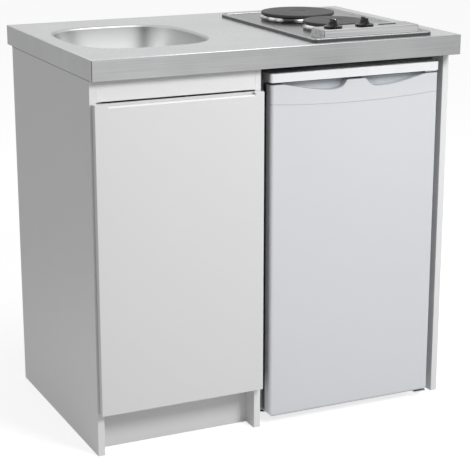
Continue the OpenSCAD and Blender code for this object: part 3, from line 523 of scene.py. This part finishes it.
HOB_SIZE = (HOB_WIDE, HOB_LONG, 14 * MM)
HOB_SHEET = 0.8 * MM
BORDER_SECTION = (
    (0, 0), (0, 6.6), (-0.25, 7.6), (-0.8, 8.5), (-1.6, 8.95), (-2.4, 9.0),
    (-11.3, 9.0), (-12.0, 8.7), (-12.5, 8.0), (-13.0, 7.3), (-13.8, 7.0),
)
DECK_RISE = 7 * MM
CONSOLE = (252 * MM, 66 * MM, 6 * MM)
CONSOLE_CENTRE = (236 * MM, -231 * MM)
CONSOLE_SECTION = (
    (1.2, 7.0), (0.5, 7.3), (0, 8.2), (-3.0, 21.5), (-3.6, 23.0), (-4.6, 23.8), (-6.0, 24.0),
)
PLATES = {"rear": "hotplate_large", "front": "hotplate_small"}
WELL_INSET = 8 * MM
WELL_DEPTH = 1 * MM
KNOB_X = (153 * MM, 234 * MM)
KNOB_Y = -229 * MM
TICKS = (23.2 * MM, 25.8 * MM)
TICK_HALF = 0.6 * MM
SHORT_BAR = (KNOB_X[0] - 36 * MM, KNOB_Y, 5.5 * MM, 1 * MM)


def console_print(x, y):
    """1 on the console's black print: eight ticks round each knob and one short bar."""
    bar_x, bar_y, half_x, half_y = SHORT_BAR
    marks = (half_x - (x - bar_x).maths("ABSOLUTE")).step()
    marks = marks * (half_y - (y - bar_y).maths("ABSOLUTE")).step()
    for knob_x in KNOB_X:
        off_x, off_y = x - knob_x, y - KNOB_Y
        far = (off_x * off_x + off_y * off_y) ** 0.5
        spoke = (off_y.maths("ARCTAN2", off_x) * (4 / math.pi)).maths("PINGPONG", 0.5)
        tick = (TICK_HALF - spoke * far * (math.pi / 4)).step()
        marks = marks + tick * (far - TICKS[0]).step() * (TICKS[1] - far).step()
    return marks


def let_out(size, section, steps=8):
    """Outlines and heights of a pressing, from its size and its (let out, height) section."""
    width, length, radius = size
    levels = []
    for by, rise in section:
        by = by * MM
        corner = max(radius + by, 0.5 * MM)
        outline = rounded_outline(width + 2 * by, length + 2 * by, corner, steps)
        levels.append((outline, rise * MM))
    return levels


def close_ring(bm, loop):
    bmesh.ops.edgeloop_fill(bm, edges=ring_edges(bm, loop))


# Four tones of one steel: the deck is painted darker and the console top lighter than the slopes,
# as painted reflection, and the rim's foot near black, as painted shade; the console's print is
# real.
HOB_STEEL = brushed("polished_hob_steel", (0.47, 0.473, 0.478), "x", 0.16, 0.9, 1.0)
DECK_DARKENED_STEEL = brushed("deck_steel_painted_dark", (0.27, 0.272, 0.276), "y", 0.16, 0.8, 0.5)
RIM_SHADE_STEEL = brushed("rim_steel_painted_shade", (0.12, 0.12, 0.124), "x", 0.3, 0.8)
CONSOLE_LIT_STEEL = brushed(
    "console_steel_painted_light", (0.55, 0.553, 0.558), "x", 0.2, 0.8, 0.3, printed=console_print
)

bm = bmesh.new()
_, deck_ring = pressed(bm, let_out(HOB_SIZE, BORDER_SECTION), HOB_CENTRE, WORKTOP_TOP)
console = let_out(CONSOLE, CONSOLE_SECTION, steps=6)
console_foot, console_top = pressed(bm, console, CONSOLE_CENTRE, WORKTOP_TOP)
close_ring(bm, console_top)
deck_edges = ring_edges(bm, deck_ring) + ring_edges(bm, console_foot)
for node in PLATES.values():
    well_half = half_size(node).x - WELL_INSET
    hole = drawn_outline(well_half, well_half, 2, 64)
    well_levels = [(hole, DECK_RISE), (hole, DECK_RISE - WELL_DEPTH)]
    well, _ = pressed(bm, well_levels, middle(node), WORKTOP_TOP)
    deck_edges += ring_edges(bm, well)
bmesh.ops.triangle_fill(bm, edges=deck_edges, use_beauty=True, normal=(0, 0, 1))
bmesh.ops.recalc_face_normals(bm, faces=bm.faces)
face_up(bm)

SLOPES, DECK, RIM_FOOT_SHADE, CONSOLE_FACE = range(4)
# Faces are sorted into those tones: painted reflection on the deck and console top, painted shade
# on the rim's foot.
for f in bm.faces:
    rise = f.calc_center_median().z - WORKTOP_TOP
    if abs(f.normal.z) > 0.9:
        f.material_index = CONSOLE_FACE if rise > 12 * MM else DECK
    else:
        f.material_index = RIM_FOOT_SHADE if rise < 5 * MM else SLOPES
hob = finish_piece(bm, "hob_pressing", "carcass", HOB_STEEL, ["hob_plate"], 50)
for steel in (DECK_DARKENED_STEEL, RIM_SHADE_STEEL, CONSOLE_LIT_STEEL):
    hob.data.materials.append(steel)
modify(hob, "SOLIDIFY", thickness=HOB_SHEET, offset=-1)
modify(hob, "WEIGHTED_NORMAL", keep_sharp=True, weight=70)


# ---------------------------------------------------------------------------
# Hotplates: cast iron discs with turned rings and a shallow eye, each held over
# the deck by a pressed collar of bright steel with a flat foot ring.

PLATE_TOP = 21
TURNING_PITCH = 1.6 * MM


def cast_iron(name, centre):
    """Dull black cast iron, turned on its face: fine rings, a dusty bloom and dry grain."""
    iron = Finish(name)
    place = iron.place()
    around = iron.node("Mapping", None, {"Vector": place, "Location": [-c for c in centre]})
    far = iron.node("VectorMath", {"operation": "LENGTH"}, {0: around}, output="Value")
    rings = (far * (2 * math.pi / TURNING_PITCH)).maths("SINE")
    grain = iron.noise(place, 1400, 3)
    bloom = iron.noise(place, 24, 4)
    colour = iron.mix(bloom * 0.8 + grain * 0.4, (0.035, 0.035, 0.037), (0.10, 0.10, 0.104))
    return iron.surface(colour, bloom * 0.2 + 0.42, rings * 0.3 + grain, 0.08 * MM, Metallic=0.6)


def mirror_steel(name, dull, bright, blotch=60, spread=1.0):
    """Polished steel of collars and small bright parts, with faint turning marks; with a wide
    spread its blotches become hard light and dark patches, painted reflections.
    """
    steel = Finish(name)
    place = steel.place()
    smear_and_reflection = steel.noise(place, blotch, 3)
    fine = steel.noise(place, 700, 2)
    colour = steel.mix(((smear_and_reflection - 0.5) * spread + 0.5).held(), dull, bright)
    return steel.surface(colour, smear_and_reflection * 0.14 + 0.04, fine, 0.03 * MM, Metallic=1.0)


def turned(bm, section, centre, base, steps):
    """A round part, spun from half of its section: (radius, height over base), in mm."""
    points = [bm.verts.new((centre[0] + r * MM, centre[1], base + z * MM)) for r, z in section]
    edges = [bm.edges.new(pair) for pair in zip(points, points[1:])]
    bmesh.ops.spin(
        bm, geom=points + edges, cent=(centre[0], centre[1], 0), axis=(0, 0, 1),
        angle=2 * math.pi, steps=steps, use_merge=True,
    )
    bmesh.ops.remove_doubles(bm, verts=bm.verts, dist=0.001 * MM)
    bmesh.ops.recalc_face_normals(bm, faces=bm.faces)


def plate_section(r):
    """Half of a plate: its eye, four turned grooves, worn rim and hollow underside."""
    top = PLATE_TOP
    section = [(0, top - 1.2), (20.4, top - 1.2), (21.4, top - 0.9), (22.4, top - 0.2), (23.4, top)]
    for k in range(1, 5):
        groove = 26 + k * (r - 34) / 5
        section += [(groove - 0.9, top), (groove - 0.5, top - 0.4)]
        section += [(groove + 0.5, top - 0.4), (groove + 0.9, top)]
    section += [(r - 1.6, top), (r - 0.7, top - 0.3), (r - 0.15, top - 0.9), (r, top - 1.6)]
    section += [(r, 15.4), (r - 0.5, 14.4), (r - 1.4, 14), (r - 9, 14), (r - 10, 6), (0, 6)]
    return section


def collar_section(r):
    """Half of a collar: its flat foot ring, a small bead and the wall up to the plate."""
    return [
        (r - 7.5, 7), (r + 3.6, 7), (r + 4, 7.3), (r + 4, 7.9), (r + 3.5, 8.5), (r + 2.2, 8.7),
        (r + 1.4, 8.6), (r + 0.6, 9.2), (r - 0.8, 10.8), (r - 2.2, 12.6), (r - 3, 13.9),
        (r - 7.5, 13.9), (r - 7.5, 7),
    ]


# The collars' dark and bright patches are painted reflections.
COLLAR_REFLECTION_STEEL = mirror_steel("collar_painted_reflections", (0.07, 0.07, 0.072), (0.8, 0.8, 0.8), 22, 7.0)

for where, node in PLATES.items():
    centre = (*middle(node)[:2], WORKTOP_TOP)
    bm = bmesh.new()
    turned(bm, plate_section(half_size(node).x / MM), centre, WORKTOP_TOP, 128)
    iron = cast_iron("cast_iron_" + where, centre)
    finish_piece(bm, "hotplate_" + where, "carcass", iron, [node], 28)

bm = bmesh.new()
for node in PLATES.values():
    turned(bm, collar_section(half_size(node).x / MM), middle(node), WORKTOP_TOP, 128)
finish_piece(
    bm, "hotplate_collars", "carcass", COLLAR_REFLECTION_STEEL, ["hotplate_rings"], 40
)


# ---------------------------------------------------------------------------
# Controls: two black moulded knobs, each a skirt and a grip bar on a spindle, and
# a slim dark pilot lamp. The bar's section is (width, length, height), the lamp's
# (let out, height), in mm.

KNOB_Z = 914.5 * MM
POINTER_BACK = KNOB_Y - 2 * MM
POINTER_FOOT = KNOB_Z + 17.4 * MM
KNOB_SECTION = (
    (0, 0), (20.2, 0), (21.1, 0.4), (21.4, 1.1), (21.4, 2.2), (20.9, 3.0), (19.4, 3.6),
    (16.4, 4.2), (13.6, 5.2), (11.4, 6.8), (10.2, 9.0), (9.7, 11.4), (9.2, 12.6), (8.4, 13.2),
    (7.2, 13.4), (0, 13.4),
)
BAR_SECTION = (
    (14.6, 34.0, 3.4), (11.6, 30.6, 7.0), (9.4, 26.4, 12.0), (8.2, 23.6, 16.6),
    (7.4, 22.4, 18.2), (6.4, 21.2, 18.8), (4.6, 19.2, 19.0),
)
SPINDLE_SECTION = ((0, 0.5), (3, 0.5), (3, -14), (0, -14))
LAMP_CENTRE = middle("hob_lamp")
LAMP_SIZE = (*(half_size("hob_lamp") * 2)[:2], 3 * MM)
LAMP_SECTION = ((0, 24.0), (0, 24.5), (-0.3, 24.85), (-0.9, 25.0))


def moulded(name, colour, roughness, relief=0.03 * MM, scale=700, pointer=None, **constants):
    """Moulded plastic, a little uneven in gloss, with a fine skin; a pointer is a white line
    on top of a knob, given by the knob's x, the line's rear end and the height it starts at."""
    plastic = Finish(name)
    place = plastic.place()
    skin = plastic.noise(place, scale, 2)
    cloud = plastic.noise(place, 16, 3)
    tint = plastic.clouded(cloud, colour, 0.04)
    if pointer is not None:
        x, y, z = plastic.split(place)
        line = (0.8 * MM - (x - pointer[0]).maths("ABSOLUTE")).step() * (pointer[1] - y).step()
        tint = plastic.mix(line * (z - pointer[2]).step(), tint, (0.8, 0.8, 0.8))
    shine = (cloud - 0.5) * 0.12 + (skin - 0.5) * 0.04 + roughness
    return plastic.surface(tint, shine, skin, relief, **constants)


LAMP_LENS = moulded("pilot_lens", (0.012, 0.008, 0.008), 0.35, Specular_IOR_Level=0.2)

for side, x in zip(("left", "right"), KNOB_X):
    centre = (x, KNOB_Y)
    bar = []
    for width, length, rise in BAR_SECTION:
        outline = rounded_outline(width * MM, length * MM, width * 0.49 * MM, 6)
        bar.append((outline, rise * MM))
    bm = bmesh.new()
    turned(bm, KNOB_SECTION, centre, KNOB_Z, 72)
    _, bar_top = pressed(bm, bar, centre, KNOB_Z)
    close_ring(bm, bar_top)
    turned(bm, SPINDLE_SECTION, centre, KNOB_Z, 24)
    line = (x, POINTER_BACK, POINTER_FOOT)
    black = moulded(
        "knob_" + side, (0.008, 0.008, 0.009), 0.2, pointer=line, Specular_IOR_Level=0.3
    )
    finish_piece(
        bm, "knob_" + side, side + "_control", black, ["hob_knob_" + side], 34
    )

bm = bmesh.new()
_, lens_top = pressed(bm, let_out(LAMP_SIZE, LAMP_SECTION, steps=6), LAMP_CENTRE, WORKTOP_TOP)
close_ring(bm, lens_top)
bmesh.ops.recalc_face_normals(bm, faces=bm.faces)
finish_piece(bm, "pilot_lamp", "carcass", LAMP_LENS, ["hob_lamp"], 30)


# ---------------------------------------------------------------------------
# Cabinet boards: coated chipboard, 16 mm, with a thin band on each seen edge,
# screwed up through the steel angles. Painted shade darkens their tops under the
# worktop and the middle panel's edge by the refrigerator; the fascia is painted lighter.

WHITE = (0.765, 0.765, 0.77)
# Painted light: the fascia's white is lighter than the panels' white, to offset the shade under the
# worktop's overhang.
LIT_FASCIA_WHITE = (0.83, 0.83, 0.835)
PANEL_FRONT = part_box("left_panel")[0][1]
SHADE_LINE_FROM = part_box("left_panel")[1][2] - 2 * MM
# Where painted shade starts: the boards' tops under the worktop, and the middle panel's right edge
# by the refrigerator.
GAP_SHADE_FROM = (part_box("middle_panel")[1][0] - 2.2 * MM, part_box("sink_door")[0][2])
BOARD_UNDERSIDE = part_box("worktop_core")[0][2]


def coated_board(name, colour, front=None, painted_shade_line=None, gap_shade=None):
    """White melamine coating with a fine dull grain. Given where they start, it has a paler
    edge band at its front, painted shade along its top under the worktop and painted
    shadow on its right edge by the refrigerator, (x, height)."""
    coat = Finish(name)
    place = coat.place()
    x, y, z = coat.split(place)
    grain = coat.noise(place, 1100, 2)
    cloud = coat.noise(place, 5, 4)
    smudge = coat.noise(place, 38, 5)
    tint = coat.clouded(cloud, colour, 0.015)
    if front is not None:
        band = (front + 0.6 * MM - y).step()
        tint = coat.mix(band, tint, [min(c * 1.05, 1) for c in colour])
    if painted_shade_line is not None:
        # painted shade: the board's top, under the worktop, goes to 0.3 of its white
        tint = coat.mix((z - painted_shade_line).step(), tint, [c * 0.3 for c in colour])
    if gap_shade is not None:
        # painted shadow: near black on the middle panel's right edge, beside the refrigerator
        tint = coat.mix((x - gap_shade[0]).step() * (z - gap_shade[1]).step(), tint, (0.05, 0.05, 0.05))
    return coat.surface(tint, (smudge - 0.5) * 0.10 + 0.38, grain, 0.03 * MM)


def raw_chipboard(name):
    """Pressed wood chips at the board's cut openings; balance paper on its underside, painted dark
    grey as the shade under the worktop.
    """
    chips = Finish(name)
    place = chips.place()
    flakes = chips.cells(place, 420)
    tone = chips.noise(place, 160, 5)
    over_film = (chips.split(place)[2] - (BOARD_UNDERSIDE + 0.3 * MM)).step()
    colour = chips.mix(flakes * 0.6 + tone * 0.4, (0.36, 0.23, 0.12), (0.72, 0.56, 0.36))
    # painted shade: the underside paper is near black
    backing_and_shade = chips.mix(tone, (0.075, 0.075, 0.078), (0.10, 0.10, 0.103))
    colour = chips.mix(over_film, backing_and_shade, colour)
    return chips.surface(colour, tone * 0.2 + 0.7, flakes + tone, 0.3 * MM)


def zinc_plate(name):
    """Bright zinc plate with a faint grey bloom and soft patches."""
    zinc = Finish(name)
    place = zinc.place()
    patch = zinc.cells(place, 190)
    bloom = zinc.noise(place, 60, 4)
    colour = zinc.mix(patch * 0.5 + bloom * 0.5, (0.46, 0.47, 0.49), (0.66, 0.67, 0.68))
    return zinc.surface(colour, bloom * 0.25 + 0.25, bloom, 0.05 * MM, Metallic=1.0)


def dress(finish, *names, bevel=None):
    """Gives CAD nodes a finish, joins their loose triangles and softens their edges."""
    for name in names:
        node = nodes[name]
        node.data.materials.clear()
        node.data.materials.append(finish)
        modify(node, "WELD", merge_threshold=0.01 * MM)
        if bevel:
            modify(
                node, "BEVEL", width=bevel, segments=2, limit_method="ANGLE",
                angle_limit=math.radians(30), use_clamp_overlap=True,
            )
            modify(node, "WEIGHTED_NORMAL", keep_sharp=True)


BOARD = coated_board("coated_board", WHITE, PANEL_FRONT, SHADE_LINE_FROM)
GAP_SHADE_BOARD = coated_board("gap_shade_board", WHITE, PANEL_FRONT, SHADE_LINE_FROM, GAP_SHADE_FROM)
LIT_FASCIA = coated_board("lit_fascia_board", LIT_FASCIA_WHITE, painted_shade_line=SHADE_LINE_FROM)
ZINC = zinc_plate("zinc_plate")
dress(BOARD, "left_panel", "right_panel", "bottom_panel", "plinth", bevel=0.5 * MM)
dress(GAP_SHADE_BOARD, "middle_panel", bevel=0.5 * MM)
dress(LIT_FASCIA, "front_rail", bevel=0.5 * MM)
dress(BOARD, "back_rail", "bay_rail", "back_panel", bevel=0.3 * MM)
dress(raw_chipboard("chipboard"), "worktop_core")
dress(ZINC, "worktop_brackets", bevel=0.25 * MM)


# ---------------------------------------------------------------------------
# Sink door: a coated board with a finger groove routed along its upper edge,
# hung on two concealed hinges of zinc-plated steel, with two clear stops.

DOOR_PAINT = coated_board("door_coating", (0.715, 0.715, 0.72))
CLEAR_STOP = moulded("clear_stop", (0.62, 0.64, 0.66), 0.3, Transmission_Weight=0.5)
dress(DOOR_PAINT, "sink_door", bevel=0.8 * MM)
dress(ZINC, "hinge_plates", "hinge_arms", "hinge_cups", bevel=0.25 * MM)
dress(CLEAR_STOP, "door_bumpers", bevel=0.3 * MM)


# ---------------------------------------------------------------------------
# Waste and trap: a bright strainer in the bowl's seat over white plastic pipes,
# joined by ribbed union nuts, with a rubber seal under the bowl.


def rubber(name, colour):
    """Soft matt rubber, paler where it is dusty."""
    skin = Finish(name)
    place = skin.place()
    dust = skin.noise(place, 80, 4)
    fine = skin.noise(place, 1200, 2)
    tint = skin.mix(dust, colour, [c * 1.5 + 0.01 for c in colour])
    return skin.surface(tint, dust * 0.2 + 0.6, fine, 0.08 * MM)


BRIGHT_STEEL = mirror_steel("bright_steel", (0.56, 0.57, 0.59), (0.70, 0.71, 0.72))
PIPE_WHITE = moulded("pipe_plastic", (0.74, 0.74, 0.71), 0.42, 0.08 * MM, 260)
RUBBER_BLACK = rubber("black_rubber", (0.03, 0.03, 0.032))
dress(BRIGHT_STEEL, "waste_flange", "waste_screw", bevel=0.15 * MM)
dress(PIPE_WHITE, "waste_body", "trap_body", "trap_cup", bevel=0.4 * MM)
dress(PIPE_WHITE, "trap_nuts", "outlet_pipe", bevel=0.4 * MM)
dress(RUBBER_BLACK, "waste_seal", bevel=0.3 * MM)


# ---------------------------------------------------------------------------
# Below the hob: a zinc-plated tray that closes it from beneath, two black rotary
# switches set up into the console, and the terminal box under the tray.

SWITCH_BLACK = moulded("switch_plastic", (0.045, 0.045, 0.05), 0.45, 0.06 * MM, 420)
dress(ZINC, "hob_underpan")
dress(SWITCH_BLACK, "hob_switches", "hob_terminal_box", bevel=0.4 * MM)


# ---------------------------------------------------------------------------
# Refrigerator case: painted steel with a faint orange-peel skin and a moulded
# top, foam in its walls and a smooth plastic liner, over a zinc-plated base
# plate and four black feet.

COOL_WHITE = (0.655, 0.667, 0.695)


def enamel(name, colour, roughness=0.3, shading=None):
    """Sprayed paint on sheet steel: soft orange-peel relief under an even gloss; shading, if given,
    paints light and shade into its colour.
    """
    paint = Finish(name)
    place = paint.place()
    peel = paint.noise(place, 420, 1)
    cloud = paint.noise(place, 3.5, 2)
    tint = paint.clouded(cloud, colour, 0.015)
    if shading is not None:
        tint = shading(paint, place, tint)
    return paint.surface(tint, (cloud - 0.5) * 0.08 + roughness, peel, 0.06 * MM)


def rigid_foam(name):
    """Yellow closed-cell foam, as it is where it was poured."""
    foam = Finish(name)
    place = foam.place()
    bubbles = foam.cells(place, 900)
    cloud = foam.noise(place, 40, 4)
    colour = foam.mix(bubbles * 0.4 + cloud * 0.6, (0.58, 0.47, 0.22), (0.80, 0.70, 0.42))
    return foam.surface(colour, cloud * 0.2 + 0.7, bubbles, 0.2 * MM)


CASE_PAINT = enamel("case_enamel", COOL_WHITE)
TOP_WHITE = moulded("top_plastic", (0.86, 0.865, 0.875), 0.28, 0.04 * MM, 500)
LINER_WHITE = moulded("liner_plastic", (0.82, 0.83, 0.85), 0.3, 0.03 * MM, 300)
dress(CASE_PAINT, "fridge_cabinet", bevel=0.4 * MM)
dress(TOP_WHITE, "fridge_top", bevel=0.8 * MM)
dress(LINER_WHITE, "fridge_liner", "icebox", "thermostat_housing", bevel=0.5 * MM)
dress(rigid_foam("rigid_foam"), "fridge_foam", "fridge_door_foam")
dress(ZINC, "fridge_hinges", "fridge_base", bevel=0.3 * MM)
dress(RUBBER_BLACK, "fridge_feet", bevel=0.3 * MM)


# ---------------------------------------------------------------------------
# Refrigerator door: painted skin, a moulded grip strip with two finger scoops
# along its curved seam, a formed inner skin, soft seal and three racks.

DOOR_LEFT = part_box("fridge_door_panel")[0][0]
DOOR_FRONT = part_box("fridge_door_panel")[0][1]
GRIP_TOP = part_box("fridge_door_grip")[1][2]
GRIP_MIDDLE = (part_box("fridge_door_grip")[0][0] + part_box("fridge_door_grip")[1][0]) / 2
SCOOPS_HALF = 172 * MM
SCOOPS_HIGH = 26 * MM
TAB_HALF = 70 * MM


def door_light_and_shade(paint, place, tint):
    """Painted light on the door's left side; painted shade at its rear edge, in the scoops and
    along its top.
    """
    x, y, z = paint.split(place)
    side = (DOOR_LEFT + 2 * MM - x).step(1 * MM)
    # painted light: the door's left side is paler
    tint = paint.mix(side, tint, (0.90, 0.91, 0.94))
    # painted shadow along the rear of the left side
    tint = paint.mix(side * (y - (DOOR_FRONT + 23 * MM)).step(2 * MM), tint, (0.10, 0.10, 0.11))
    aside = (x - GRIP_MIDDLE).maths("ABSOLUTE")
    scoop = (y - (DOOR_FRONT + 3 * MM)).step(4 * MM) * (SCOOPS_HALF - aside).step()
    scoop = scoop * (z - (GRIP_TOP - SCOOPS_HIGH)).step()
    near_tab = (TAB_HALF - aside).step(50 * MM)
    # painted shade in the scoops, darkest near the middle tab
    hollow = paint.mix(near_tab, (0.52, 0.545, 0.57), (0.36, 0.385, 0.42))
    tint = paint.mix(scoop, tint, hollow)
    # painted shade along the top of the grip
    return paint.mix((z - (GRIP_TOP - 0.6 * MM)).step(), tint, (0.22, 0.24, 0.27))


DOOR_ENAMEL = enamel("door_enamel", COOL_WHITE, shading=door_light_and_shade)
dress(DOOR_ENAMEL, "fridge_door_panel", bevel=0.6 * MM)
dress(DOOR_ENAMEL, "fridge_door_grip", bevel=0.8 * MM)
dress(LINER_WHITE, "fridge_door_liner", "door_racks", bevel=0.5 * MM)
dress(rubber("seal_grey", (0.42, 0.43, 0.45)), "fridge_gasket", bevel=0.6 * MM)


# ---------------------------------------------------------------------------
# Inside the refrigerator: shelves on the liner's ribs, a bin under its cover, the
# freezer's flap and the lamp's cover, all clear moulded plastic, and a grey dial.

CLEAR = moulded(
    "clear_plastic", (0.80, 0.86, 0.88), 0.1, 0.03 * MM, 300, Transmission_Weight=0.8, IOR=1.49
)
DIAL_GREY = moulded("dial_plastic", (0.40, 0.41, 0.43), 0.35)
dress(CLEAR, "fridge_shelves", "crisper_cover", "crisper", bevel=0.4 * MM)
dress(CLEAR, "icebox_flap", "lamp_cover", bevel=0.4 * MM)
dress(DIAL_GREY, "thermostat_knob", bevel=0.3 * MM)


# ---------------------------------------------------------------------------
# Cooling machinery at the back, all painted black: the compressor in its room on
# the base plate, and the condenser, a bent tube with wires welded across it.

MACHINE_BLACK = enamel("machine_black", (0.022, 0.022, 0.024), 0.42)
dress(MACHINE_BLACK, "compressor", "condenser_tube", "condenser_wires")
